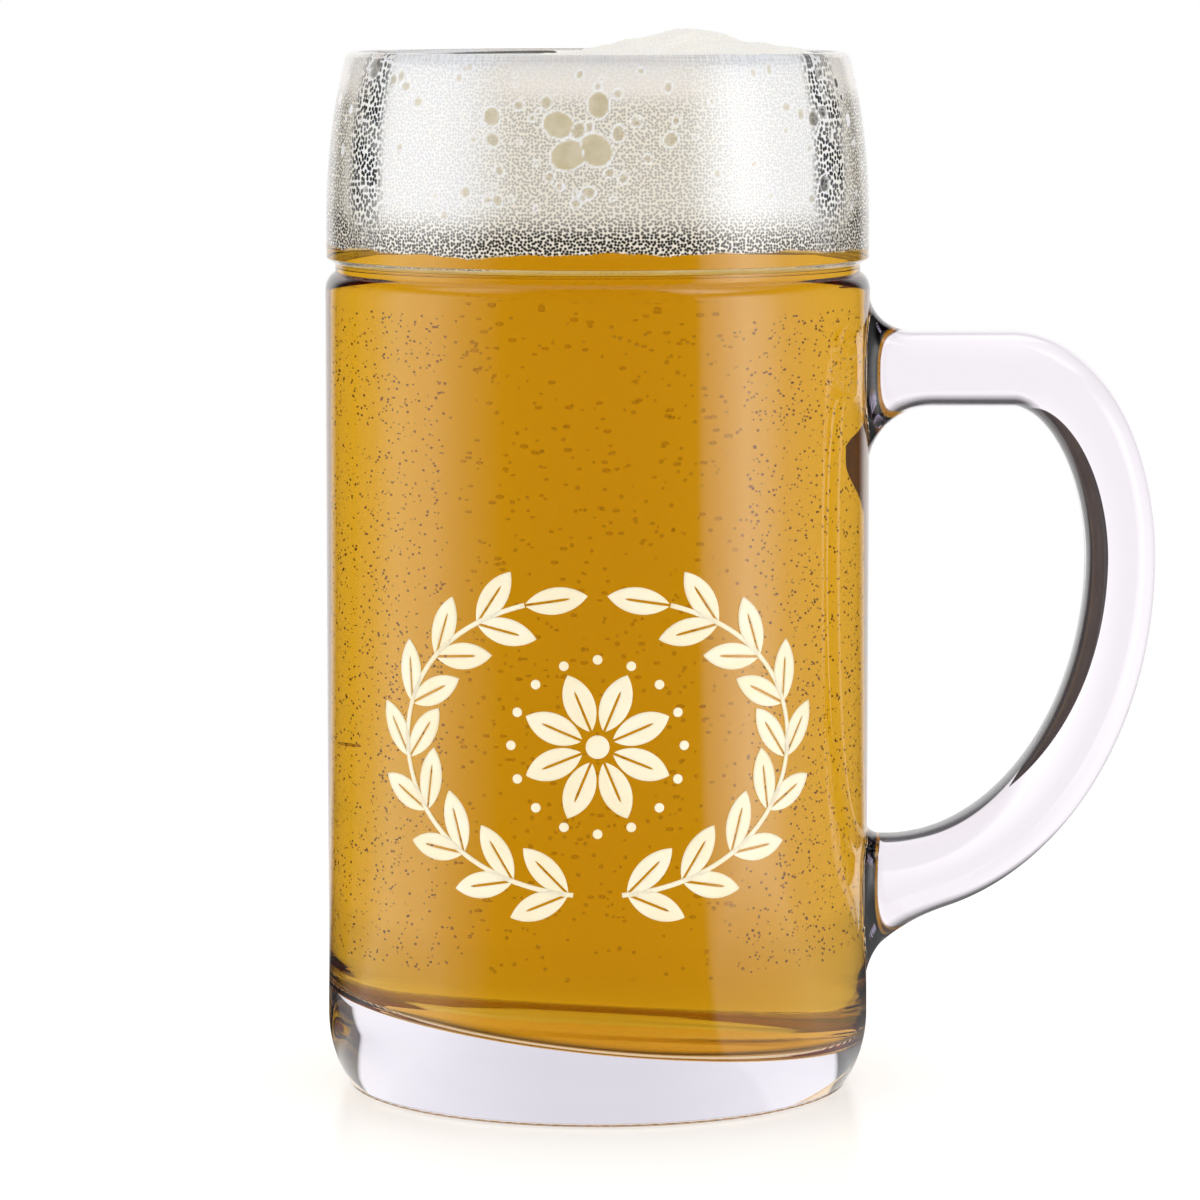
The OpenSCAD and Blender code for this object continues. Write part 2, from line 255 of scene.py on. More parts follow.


# beer foam: a white net round small dark cells, finest and darkest above the drink, greyed by painted shade
# before, behind and at the sides, black in wide wet cells between them where painted shade stands for the
# dark room seen through clear foam, and with beige windows of painted shade where single bubbles have grown
# large
def beerFoam():
    material, tree = newMaterial("beer_foam")
    wall = addNode(tree, "UVMap", {"uv_map": "wall"})  # round the bore and up it
    zones = addNode(tree, "Attribute", {"attribute_name": "zones"})  # how dark the cells are, beige with painted shade, wet and black with painted shade
    zone = addNode(tree, "SeparateXYZ", None, {0: zones.outputs["Vector"]})
    grownAt = addNode(tree, "Attribute", {"attribute_name": "grown"})  # window, film, whipped smooth
    grown = addNode(tree, "SeparateXYZ", None, {0: grownAt.outputs["Vector"]})
    fineCells, wetAndShadeCells = [
        addNode(tree, "TexVoronoi",
                {"voronoi_dimensions": "2D", "Scale": 1 / (size * mm), "Randomness": 0.75},
                {"Vector": wall.outputs["UV"]})
        for size in (0.6, 0.95)
    ]
    reach = addNode(tree, "Math", {"operation": "MULTIPLY_ADD", 1: -0.12},
                    {0: zone.outputs["X"], 2: fineCells})
    fineDot = addNode(tree, "MapRange", {"From Min": 0.46, "From Max": 0.2}, {"Value": reach})
    # painted shade: the wide wet cells turn black, for the dark room that clear foam would show
    wetAndShadeDot = addNode(tree, "MapRange", {"From Min": 0.48, "From Max": 0.36}, {"Value": wetAndShadeCells})
    fineDark = addNode(tree, "Math", {"operation": "MULTIPLY"}, {0: fineDot, 1: zone.outputs["X"]})
    dark = addNode(tree, "Mix", None, {"Factor": zone.outputs["Z"], "A": fineDark, "B": wetAndShadeDot})
    # the net turns beige where zone Y is high: painted shade in the grey zones, and in the fine band above
    # the drink
    net = addNode(tree, "Mix", {**rgba, "A": colour("F9F8F3"), "B": colour("EFE9DA")},
                  {"Factor": zone.outputs["Y"]})
    # the cells' dark dots, black where the wet bands paint shade
    core = addNode(tree, "Mix", {**rgba, "A": colour("2E2819"), "B": colour("0C0C0B")},
                   {"Factor": zone.outputs["Z"]})
    foamy = addNode(tree, "Mix", rgba, {"Factor": dark, "A": net, "B": core})
    whipped = addNode(tree, "Mix", {**rgba, "B": colour("F4EEE5")},
                      {"Factor": grown.outputs["Z"], "A": foamy})
    cloud = addNode(tree, "TexNoise", {"Scale": 1 / (2.5 * mm), "Detail": 2.0},
                    {"Vector": wall.outputs["UV"]})
    # painted shade: the windows are beige, the foam deep inside each grown bubble seen in shade, and black in
    # the wet bands
    pane = addNode(tree, "Mix", {**rgba, "A": colour("C8B986"), "B": colour("EBE2C8")}, {"Factor": cloud})
    hollow = addNode(tree, "Mix", {**rgba, "B": colour("1E1E1D")}, {"Factor": zone.outputs["Z"], "A": pane})
    windows = addNode(tree, "Mix", rgba, {"Factor": grown.outputs["X"], "A": whipped, "B": hollow})
    tone = addNode(tree, "Mix", {**rgba, "B": colour("FCFBF5")}, {"Factor": grown.outputs["Y"], "A": windows})
    relief = addNode(tree, "Bump", {"Strength": 0.12, "Distance": 0.3 * mm, "invert": True},
                     {"Height": fineCells})
    bubbly = addNode(tree, "BsdfPrincipled",
                     {"Roughness": 0.5, "IOR": 1.33, "Subsurface Weight": 0.8, "Subsurface Scale": 4 * mm,
                      "Subsurface Radius": (1.0, 0.9, 0.7)}, {"Base Color": tone, "Normal": relief})
    addNode(tree, "OutputMaterial", None, {"Surface": bubbly})
    return material


# fired enamel: a matt cream glass paint, a little mottled where the screen print laid it thin
def firedEnamel():
    material, tree = newMaterial("fired_enamel")
    place = addNode(tree, "TexCoord")
    at = {"Vector": place.outputs["Object"]}
    mottle = addNode(tree, "TexNoise", {"Scale": 1 / (7 * mm), "Detail": 4.0}, at)
    grain = addNode(tree, "TexNoise", {"Scale": 1 / (0.5 * mm), "Detail": 2.0}, at)
    tone = addNode(tree, "Mix", {**rgba, "A": colour("F1E0B4"), "B": colour("FBF3DF")}, {"Factor": mottle})
    bump = addNode(tree, "Bump", {"Strength": 0.25, "Distance": 0.05 * mm}, {"Height": grain})
    enamel = addNode(tree, "BsdfPrincipled",
                     {"Roughness": 0.42, "IOR": 1.5, "Subsurface Weight": 0.1, "Subsurface Scale": 0.5 * mm},
                     {"Base Color": tone, "Normal": bump})
    addNode(tree, "OutputMaterial", None, {"Surface": enamel})
    return material


drink = Values(
    fillZ=163.3, intoGlass=0.08, edge=0.1, steps=256,
    # the line under the foam: its height, and the share, count and start of each sine
    wave=0.8, waveRun=12,
    waves=((0.45, 3, 0.6), (0.3, 7, 2.1), (0.25, 16, 0.3), (0.12, 41, 0)),
    bubbles=5200, bubbleR=(0.13, 0.31), moreSmall=1.3, offWall=0.15, spread=0.4,
    aboveFloor=14, belowLip=8, sideShare=0.5, sideAngles=(35, 92),
    softness=0.7, softAngles=(24, 44), smearAngle=154, smearHalf=7, smearMove=100,
)
mug = Values(
    wall=5.5, floorT=13.3, floorLean=6, floorRound=5.5, leanFades=62,
    floorWave=0.2, floorWaves=(29, 2, 11), waveBand=(12, 3), waveBack=25,
    footRound=24, footTurn=33.5, footEdge=0.5,
    footRibs=96, ribDepth=0.2, ribStart=(4, 8), ribEnd=(4.6, 4.2),
    hollowR=38, hollowH=0.8, hollowFlat=6,
    lipH=40.4, lipInset=0.25, lipStraight=8.4, lipSweep=130, rimT=4, rimBead=0.08,
    lipFlankH=1, lipEdgeRound=0.3, grooveDepth=1.9, grooveH=1.1, shoulderRound=4,
    crisp=0.05, shoulderStop=1, sweepStop=0.4, steps=352, innerRows=65,
)
fillZ = drink.fillZ
boreR = bodyR - mug.wall
lipR = bodyR - mug.lipInset
lipLow = mugH - mug.lipH
sweepZ = lipLow + mug.lipStraight
sweepX = lipR - mug.lipSweep
innerSweep = mug.lipSweep - mug.rimT
boreTop = sweepZ + np.sqrt(innerSweep ** 2 - (boreR - sweepX) ** 2)


# the bore's radius at a height: straight, then drawn in on a circle about the lip curve's centre
def boreAt(z):
    return np.minimum(boreR, sweepX + np.sqrt(innerSweep ** 2 - np.maximum(z - sweepZ, 0) ** 2))


# the floor leans and waves: points rise by -x times the slope, and near the wall at the back by a bent
# sine of the angle; both fade out up the wall
def leanFloor(points):
    m = mug
    r, a = polar(points)
    fade = 1 - ease(m.floorT + m.floorRound, m.leanFades, points[..., 2])
    nearWall = ease(boreR - m.waveBand[0], boreR - m.waveBand[1], r)
    wave = m.floorWave * bentSine(a, *m.floorWaves) * nearWall * ease(0, m.waveBack, points[..., 1])
    points[..., 2] += (wave - points[..., 0] * np.tan(np.radians(m.floorLean))) * fade
    return points


# outline of the glass from the base's middle, round the outside, over the rim and down to the floor's
# middle; the last number of a run or an arc is its count of rows
def mugOutline():
    m, e = mug, mug.crisp
    hollowRs = m.hollowR * np.linspace(0, 1, 18)[:-1] ** 0.6
    hollow = np.column_stack([hollowRs, m.hollowH * (1 - (hollowRs / m.hollowR) ** m.hollowFlat)])
    footSin, footCos = np.sin(np.radians(m.footTurn)), np.cos(np.radians(m.footTurn))
    footZ = m.footEdge * (1 - footSin) + m.footRound * footSin
    edgeR = bodyR - m.footRound * (1 - footCos) - m.footEdge * footCos
    shoulderZ = lipLow - m.grooveH - m.shoulderRound
    shoulderR = bodyR - m.shoulderRound
    grooveR = bodyR - m.grooveDepth
    grooveA = np.degrees(np.arccos((grooveR - shoulderR) / m.shoulderRound))
    grooveZ = shoulderZ + m.shoulderRound * np.sin(np.radians(grooveA))
    flankA = np.degrees(np.arctan2(lipR - grooveR, m.lipFlankH))  # how far the flank faces down
    edgeZ = lipLow + m.lipFlankH + m.lipEdgeRound * np.tan(np.radians(flankA / 2))
    rimR = m.rimT / 2 + m.rimBead
    midSweep = m.lipSweep - m.rimT / 2
    rimA = np.degrees(np.arcsin((mugH - rimR - sweepZ) / midSweep))
    rimX = sweepX + midSweep * np.cos(np.radians(rimA))
    beadA = np.degrees(np.arccos(m.rimT / 2 / rimR))
    boreA = np.degrees(np.arccos((boreR - sweepX) / innerSweep))
    return np.vstack([
        hollow,
        [[m.hollowR, e], [m.hollowR + 4 * e, 0]],
        run((m.hollowR, 0), (edgeR, 0), 8),
        arc(edgeR, m.footEdge, m.footEdge, -90, -m.footTurn, 6),
        arc(bodyR - m.footRound, footZ, m.footRound, -m.footTurn, 0, 18),
        run((bodyR, footZ), (bodyR, shoulderZ), 84),
        arc(shoulderR, shoulderZ, m.shoulderRound, 0, grooveA - m.shoulderStop, 12),
        [[grooveR, grooveZ + e], [grooveR, (grooveZ + lipLow) / 2], [grooveR, lipLow - e]],
        [[grooveR + e, lipLow + e]],
        arc(lipR - m.lipEdgeRound, edgeZ, m.lipEdgeRound, -flankA, 0, 9),
        run((lipR, edgeZ), (lipR, sweepZ), 3),
        arc(sweepX, sweepZ, m.lipSweep, 0, rimA - m.sweepStop, 22),
        arc(rimX, mugH - rimR, rimR, rimA + beadA, rimA + 180 - beadA, 24),
        arc(sweepX, sweepZ, innerSweep, rimA - m.sweepStop, boreA, 10),
        run((boreR, boreTop), (boreR, m.floorT + m.floorRound), 34),
        arc(boreR - m.floorRound, m.floorT + m.floorRound, m.floorRound, 0, -90, 16),
        run((boreR - m.floorRound, m.floorT), (0, m.floorT), 14),
        [[0, m.floorT]],
    ])


# the foot's ribs: the ring that touches the table is cut by a cosine round the mug, between hollow and edge
def ribFoot(points):
    m = mug
    r, a = polar(points)
    under = (points[..., 2] < m.footEdge) * 1.0
    start, end = m.hollowR + np.array(m.ribStart), bodyR - np.array(m.ribEnd)
    band = ease(*start, r) * (1 - ease(*end, r))
    points[..., 2] += under * band * m.ribDepth * (0.5 - 0.5 * np.cos(m.footRibs * a))
    return points


# where a handle root covers the barrel: inside the rounded square that is the root's first ring
def underRoots(points):
    rings = handleRings()
    share = np.zeros(points.shape[:2])
    for ring in (rings[0], rings[-1]):
        halfW, midZ = ring[0, 1], ring[0, 2]
        rise = points[..., 2] - midZ
        reach = np.where(rise > 0, ring[:, 2].max() - midZ, midZ - ring[:, 2].min())
        inside = np.abs(points[..., 1] / halfW) ** handle.square + np.abs(rise / reach) ** handle.square
        share = np.maximum(share, (1 - ease(handle.rootSoft, 1.0, inside)) * (points[..., 0] > 0))
    return share


# the outline turned about Z; light bends less where the drink or the handle's roots meet the glass
def makeMug():
    outline = mugOutline()
    points = turn(outline, mug.steps)
    inner = np.arange(len(outline)) >= len(outline) - mug.innerRows
    points[inner] = leanFloor(points[inner])
    points = ribFoot(points)
    glass = sodaGlass("pressed_glass", {"Color": colour("7C59B3"), "Density": 3.0})
    piece = revolveMesh("mug_glass", points, glass)
    wetted = inner[:, None] & (points[..., 2] < fillZ)
    fused = underRoots(points) * ~inner[:, None]
    index = np.where(wetted, glassIndex / beerIndex, glassIndex - (glassIndex - 1) * fused)
    setValues(piece, "index", flatRows(index))
    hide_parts("mug_body")
    return piece, "clear_glass"


handle = Values(
    fingerRoom=42, drop=19.4, lowZ=40, topBendW=21.4, topBendH=37, lowBendRun=2.5,
    topArmT=14.6, gripT=13.6, lowArmT=16.2, width=20, square=2.6,
    filletHighTop=8.3, filletHighUnder=12.3, filletLowTop=3, filletLowUnder=13.3,
    filletSide=4, filletEdge=0.3, sink=0.15, rootSoft=0.86,
    sides=72, rootRings=26, armRings=14, bendRings=70,
)


# height of a round fillet of radius r at the distance d from the wall: r less the chord of its circle
def fillet(d, r):
    t = np.clip(np.maximum(d, 0) + handle.filletEdge, 0, r)
    return r - np.sqrt(r * r - (r - t) ** 2)


# the loop: an arm out of the wall, a quarter ellipse over to the grip, and a long quarter ellipse back to
# the wall; each ring is a rounded square across the path, wider near the wall by the fillets
def handleRings():
    h = handle
    gripX = bodyR + h.fingerRoom + h.gripT / 2
    highZ = lipLow - mug.grooveH - h.drop
    gripZ = highZ - h.topBendH
    topX = gripX - h.topBendW
    lowX = bodyR + h.lowBendRun
    lowW, lowH = gripX - lowX, gripZ - h.lowZ
    span = h.filletLowUnder
    steps = span * (1 - np.cos(np.linspace(0, np.pi / 2, h.rootRings)))
    armX = np.hstack([bodyR + steps, np.linspace(bodyR + span, topX, h.armRings)[1:-1]])
    bend = np.linspace(0, np.pi / 2, h.bendRings)
    lowEnd = np.arccos((bodyR + span - lowX) / lowW)
    rootX = bodyR + steps[::-1][1:]
    rootA = np.where(rootX > lowX, np.arccos(np.clip((rootX - lowX) / lowW, -1, 1)), np.pi / 2)
    low = np.hstack([np.linspace(0, lowEnd, h.bendRings)[1:], rootA])
    lowPathX = np.hstack([lowX + lowW * np.cos(low[:h.bendRings - 1]), rootX])
    x = np.hstack([armX, topX + h.topBendW * np.sin(bend), lowPathX])
    z = np.hstack([np.full(len(armX), highZ), gripZ + h.topBendH * np.cos(bend), gripZ - lowH * np.sin(low)])
    heading = np.hstack([
        np.zeros(len(armX)),
        np.arctan2(-h.topBendH * np.sin(bend), h.topBendW * np.cos(bend)),
        np.arctan2(-lowH * np.cos(low), -lowW * np.sin(low)),
    ])
    thick = np.hstack([
        np.full(len(armX), h.topArmT),
        h.topArmT + (h.gripT - h.topArmT) * bend / (np.pi / 2),
        h.gripT + (h.lowArmT - h.gripT) * (low / (np.pi / 2)) ** 2,
    ])
    d = x - bodyR
    high = z > gripZ
    outer = thick / 2 + np.where(high, fillet(d, h.filletHighTop), fillet(d, h.filletLowUnder))
    inner = thick / 2 + np.where(high, fillet(d, h.filletHighUnder), fillet(d, h.filletLowTop))
    half = h.width / 2 + fillet(d, h.filletSide)
    a = np.linspace(0, 2 * np.pi, h.sides, endpoint=False)
    c, s = np.cos(a), np.sin(a)
    round2 = 2 / h.square
    across = half[:, None] * np.sign(c) * np.abs(c) ** round2
    out = np.where(s > 0, outer[:, None], inner[:, None]) * np.sign(s) * np.abs(s) ** round2
    return np.stack([x[:, None] - np.sin(heading)[:, None] * out, across,
                     z[:, None] + np.cos(heading)[:, None] * out], -1)


# the rings, pushed in near the roots to follow the round wall, and closed at both ends on it
def makeHandle():
    points = handleRings()
    sunkR = bodyR - handle.sink
    wall = np.sqrt(sunkR ** 2 - points[..., 1] ** 2)  # the barrel's surface, a little inside
    points[..., 0] += (wall - sunkR) * (1 - ease(0, handle.filletLowUnder, points[..., 0] - bodyR))
    first, last = points[:1].copy(), points[-1:].copy()
    first[..., 0], last[..., 0] = wall[:1], wall[-1:]
    points = np.concatenate([first, points, last])
    rows, cols = points.shape[:2]
    lastRow = (rows - 1) * cols
    middle = points[[0, -1]].mean(1)
    middle[:, 0] = sunkR
    allPoints = np.vstack([points.reshape(-1, 3), middle])
    faces = [gridFaces(rows, cols, True), poleFaces(rows * cols, 0, cols, True),
             poleFaces(rows * cols + 1, lastRow, cols)]
    glass = sodaGlass("drawn_glass", {"Color": colour("C600D0"), "Density": 5.0})
    piece = meshObject("handle_glass", allPoints, faces, glass)
    index = np.full(len(allPoints), glassIndex)
    index[:cols] = index[lastRow:] = 1
    setValues(piece, "index", index)
    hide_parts("handle")
    return piece, "handle_glass"


# the uneven line between beer and foam: a sum of sines round the mug
def waveAt(a):
    return drink.wave * sum(share * np.sin(count * a + start) for share, count, start in drink.waves)


# the bore filled from the leaning floor to the wavy line, a hair larger so that no air lies between
def makeBeer():
    d, g = drink, drink.intoGlass
    r, floorZ, rnd = boreR + g, mug.floorT - g, mug.floorRound
    outline = np.vstack([
        [[0, floorZ]],
        run((0, floorZ), (r - rnd, floorZ), 12),
        arc(r - rnd, floorZ + rnd, rnd, -90, 0, 16),
        run((r, floorZ + rnd), (r, fillZ), 40),
        [[r, fillZ], [r - d.edge, fillZ]],
        run((r, fillZ), (0, fillZ), 12),
        [[0, fillZ]],
    ])
    points = leanFloor(turn(outline, d.steps))
    away, a = polar(points)
    free = (points[..., 2] > fillZ - d.edge) & (away < r - d.edge / 2)
    points[..., 2] += waveAt(a) * (away / r) * ease(fillZ - d.waveRun, fillZ, points[..., 2])
    piece = revolveMesh("beer_fill", points, lager())
    setValues(piece, "index", flatRows(np.where(free, beerIndex, 1.0)))
    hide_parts("beer")
    return piece, "beer"


# one bead of 20 faces: the twelve corners of an icosahedron
def beadShape():
    g = (1 + 5 ** 0.5) / 2
    corners = np.array([[-1, g, 0], [1, g, 0], [-1, -g, 0], [1, -g, 0], [0, -1, g], [0, 1, g], [0, -1, -g],
                        [0, 1, -g], [g, 0, -1], [g, 0, 1], [-g, 0, -1], [-g, 0, 1]]) / np.sqrt(1 + g * g)
    faces = np.array([[0, 11, 5], [0, 5, 1], [0, 1, 7], [0, 7, 10], [0, 10, 11], [1, 5, 9], [5, 11, 4],
                      [11, 10, 2], [10, 7, 6], [7, 1, 8], [3, 9, 4], [3, 4, 2], [3, 2, 6], [3, 6, 8],
                      [3, 8, 9], [4, 9, 5], [2, 4, 11], [6, 2, 10], [8, 6, 7], [9, 8, 1]])
    return corners, faces


# gas bubbles on the wall: beads at random heights and angles, more of them at the sides, just inside the
# bore; none stand where the glass would smear them
def makeBubbles():
    d = drink
    corners, faces = beadShape()
    count = d.bubbles
    atSide = rng.random(count) < d.sideShare
    turned = np.where(atSide, rng.uniform(*d.sideAngles, count), rng.uniform(0, 180, count))
    smeared = np.abs(turned - d.smearAngle) < d.smearHalf
    turned = np.where(smeared, turned - d.smearMove, turned)
    a = np.radians(turned * rng.choice([-1, 1], count))
    z = rng.uniform(mug.floorT + d.aboveFloor, lipLow - d.belowLip, count)
    # soft beads, near the front and the back, are larger and fainter, so they show less of the painted shade
    soft = d.softness * (1 - ease(*d.softAngles, 90 - np.abs(90 - turned)))  # not at the sides
    size = between(*d.bubbleR, rng.random(count) ** d.moreSmall) * (1 + soft)
    r = boreR - d.offWall - size - rng.exponential(d.spread, count)
    points = around(r, a, z)[:, None] + corners[None] * size[:, None, None]
    allFaces = (faces[None] + len(corners) * np.arange(count)[:, None, None]).reshape(-1, 3)
    piece = meshObject("beer_bubbles", points, [allFaces], gasBubble())
    setValues(piece, "soft", np.repeat(soft, len(corners)))
    return piece, "beer"


foam = Values(
    cols=800, rows=104, intoGlass=0.05, sinks=0.4, scallop=0.3, scallops=(119, 2, 9),
    edgeDrop=1, topDip=6, dipCurve=0.6, capShares=(0.99, 0.9), capRings=10, crownH=4.1,
    # grown bubbles: angle from the camera in degrees, height and radius
    grown=[(-8.6, 187, 2.7), (-6.3, 181.5, 3.1), (-0.4, 182.4, 3.1), (-4.2, 186, 1.5), (0.2, 190.6, 2.3),
           (-24, 188.4, 1.8), (-23.6, 184.2, 1.4), (4.6, 185.4, 1.4), (16.2, 184.3, 1.4),
           (-2.1, 174.6, 1.3), (-22.3, 173.1, 1.1), (-30, 174.6, 1.1), (-4.8, 172.7, 0.9),
           (-10.5, 177.5, 0.9), (8.5, 187.5, 1), (-11.5, 191, 1.2), (4.5, 192.6, 0.9), (-8.2, 175.8, 0.8),
           (2.6, 178.3, 0.9), (56, 187.5, 1.6), (59, 175.5, 1.5), (54, 172.8, 0.9), (60, 188.6, 1.2),
           (-62.5, 196.6, 2)],
    scattered=260, scatterR=(0.4, 1.1), moreSmall=2.5, scatterZ=6, scatterH=28,
    scatterBeta=(1.6, 1.2), stretch=(0.88, 1.12), lean=(-0.2, 0.2),
    windowDepth=0.5, deepR=1.5, paneClear=(0.3, 0.28), film=0.28, filmMeets=0.1, filmIn=0.05,
    # zones round the wall in degrees, heights above the drink or below the rim
    # the grey zones and the wet bands are painted shade: grey cells where less lamp light falls, and black
    # wet cells for the dark room seen through clear foam
    greyHalf=(15, 33), sideHalf=(14, 24), wetAngles=(-118, -62, 62, 118), wetWidth=7,
    wetSteep=6, patchBase=0.95, patch=0.1, patches=((0.45, 3), (0.6, 23)),
    fineH=(1, 10), fineDry=0.7, fineCurve=1.5, fineBeige=0.6,
    cellDark=(0.2, 0.2, 0.4, 0.75), smooth=0.8, smoothH=(11, 6),
    rimLineH=(0.7, 0.3), rimLineAt=48, rimLineHalf=(20, 34),
)
foamEdge = mugH - foam.edgeDrop


# bowls of grown bubbles: a point's depth inside the nearest and second nearest circle tells how deep the
# bowl is, where the window shows and where two films meet
def grownBubbles(angle, height):
    f = foam
    count = f.scattered
    scatter = np.column_stack([
        rng.uniform(-180, 180, count),
        fillZ + f.scatterZ + f.scatterH * rng.beta(*f.scatterBeta, count),
        between(*f.scatterR, rng.random(count) ** f.moreSmall),
    ])
    best = second = np.full_like(height, -9)  # far outside any circle
    bowl = clear = np.zeros_like(height)
    for at, up, radius in np.vstack([f.grown, scatter]):
        stretch, lean = rng.uniform(*f.stretch), rng.uniform(*f.lean)
        along = (np.remainder(angle - np.radians(at) + np.pi, 2 * np.pi) - np.pi) * boreR * stretch
        depth = radius - np.hypot(along + lean * (height - up), (height - up) / stretch)
        second = np.maximum(second, np.minimum(best, depth))
        clear = np.where(depth > best, min(1, f.paneClear[0] + f.paneClear[1] * radius), clear)
        best = np.maximum(best, depth)
        deepest = f.windowDepth * min(1, radius / f.deepR)
        bowl = np.maximum(bowl, deepest * np.sqrt(np.clip(depth / radius, 0, 1)))
    window = ease(0, f.film, best) * ease(f.filmMeets, f.film, best - second)
    film = ease(-f.film, -f.filmIn, best) * (1 - window)
    return bowl, window * clear, film


# foam against the glass: a cylinder grid on the bore's wall with the grown bubbles pressed into it;
# its zones are grey with painted shade before and behind and at the sides, wet and black with painted shade
# between them, and fine above the drink
def foamSide():
    f = foam
    a = np.linspace(-np.pi, np.pi, f.cols, endpoint=False)
    angle, share = np.meshgrid(a, np.linspace(0, 1, f.rows))
    scallop = f.scallop * np.abs(bentSine(angle, *f.scallops))
    bottom = fillZ - f.sinks + waveAt(angle) + scallop
    height = between(bottom, foamEdge, share)
    bowl, window, film = grownBubbles(angle, height)
    radius = boreAt(height) + f.intoGlass - bowl
    turns = np.degrees(angle)[..., None]
    turned = np.abs(turns[..., 0])
    away = 45 - np.abs(turned % 90 - 45)  # from the front, the back or a side
    # painted shade: the cells greyer and darker before, behind and at the sides, where less lamp light falls;
    # the zones between stay white
    grey = 1 - ease(*f.greyHalf, away)
    side = 1 - ease(*f.sideHalf, np.abs(turned - 90))
    fine = 1 - ease(fillZ + f.fineH[0], fillZ + f.fineH[1], height)
    # painted shade: black wet bands at 62 and 118 degrees to each side, for the dark room that clear wet
    # cells would show
    wetAndShade = (np.remainder(turns - np.array(f.wetAngles) + 180, 360) - 180) / f.wetWidth
    patchy = f.patchBase
    for rise, count in f.patches:
        patchy = patchy + f.patch * np.sin(rise * height + count * angle)
    wetAndShade = np.clip(np.exp(-wetAndShade ** f.wetSteep).sum(-1) * patchy, 0, 1) * (1 - f.fineDry * fine)
    # the cells' darkness: raised by painted shade in the grey zones and at the sides, and raised in the fine
    # band above the drink
    plain, atPaintedShade, atSide, atFine = f.cellDark
    cellDark = plain + atPaintedShade * grey + atSide * side + atFine * fine ** f.fineCurve
    beige = np.clip(grey + f.fineBeige * fine, 0, 1)
    smooth = f.smooth * grey * ease(mugH - f.smoothH[0], mugH - f.smoothH[1], height)
    # painted shade: a thin dark line along the foam's top edge at the rim, towards the handle side
    rimLine = ease(foamEdge - f.rimLineH[0], foamEdge - f.rimLineH[1], height)
    rimLine = rimLine * (1 - ease(*f.rimLineHalf, np.abs(turned - f.rimLineAt)))
    wetAndShade, window = np.maximum(wetAndShade, rimLine), np.maximum(window, rimLine)
    zones = np.stack([np.clip(cellDark, 0, 1), beige, wetAndShade], -1)
    return around(radius, angle, height), zones, np.stack([window, film, smooth], -1)


# the foam's map: the way round the bore and up it at each face corner, with zeros at the poles
def mapWall(piece, grid):
    rows, cols = grid.shape[0] - 2, grid.shape[1]
    j = np.tile(np.arange(cols), rows - 1)[:, None] + np.array([0, 1, 1, 0])
    i = np.repeat(np.arange(1, rows), cols)[:, None] + np.array([0, 0, 1, 1])
    along = j * 2 * np.pi * boreR / cols
    corners = np.stack([along, grid[i, j % cols, 2]], -1).reshape(-1, 2)
    flat = np.vstack([corners, np.zeros((6 * cols, 2))]) * mm
    piece.data.uv_layers.new(name="wall").data.foreach_set("uv", flat.astype(np.float32).ravel())


# the side closed by two caps: its end rows shrunk to the axis, the upper one sinking below the crown
def makeFoam(material):
    f = foam
    side, zones, grown = foamSide()
    level, up = np.array([1, 1, 0]), np.array([0, 0, 1.0])
    nearWall, start = f.capShares
    shrink = np.append(nearWall, np.linspace(start, 0, f.capRings))[:, None, None]
    lower = side[:1] * level * shrink + up * side[:1, :, 2:].mean()
    lower[:, :, 2] += (side[0, :, 2] - side[0, :, 2].mean()) * shrink[:, :, 0]
    sunk = foamEdge - f.topDip * (1 - shrink) ** f.dipCurve
    upper = side[-1:] * level * shrink + up * sunk
    grid = np.concatenate([lower[::-1], side, upper])
    piece = revolveMesh("foam_side", grid, material)
    for name, values in (("zones", zones), ("grown", grown)):
        padded = np.zeros(grid.shape)
        padded[len(lower):len(lower) + len(side)] = values
        setValues(piece, name, flatRows(padded))
    mapWall(piece, grid)
    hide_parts("foam_head")
    return piece, "foam"


crown = Values(
    grid=190, peakX=17, peakY=2, leftW=15, rightW=8.5, deepW=17, peakLess=0.9,
    shoulderH=1.6, shoulderX=30, shoulderW=12, shoulderDeep=20,
    lift=0.5, leftDip=1.3, dipX=(-16, 2), levelShare=0.86, under=5, underShare=0.97,
    seed=5, waves=14, waveL=(9, 2.2), waveH=(0.08, 0.02), smooth=0.6, cellDark=0.3,
)


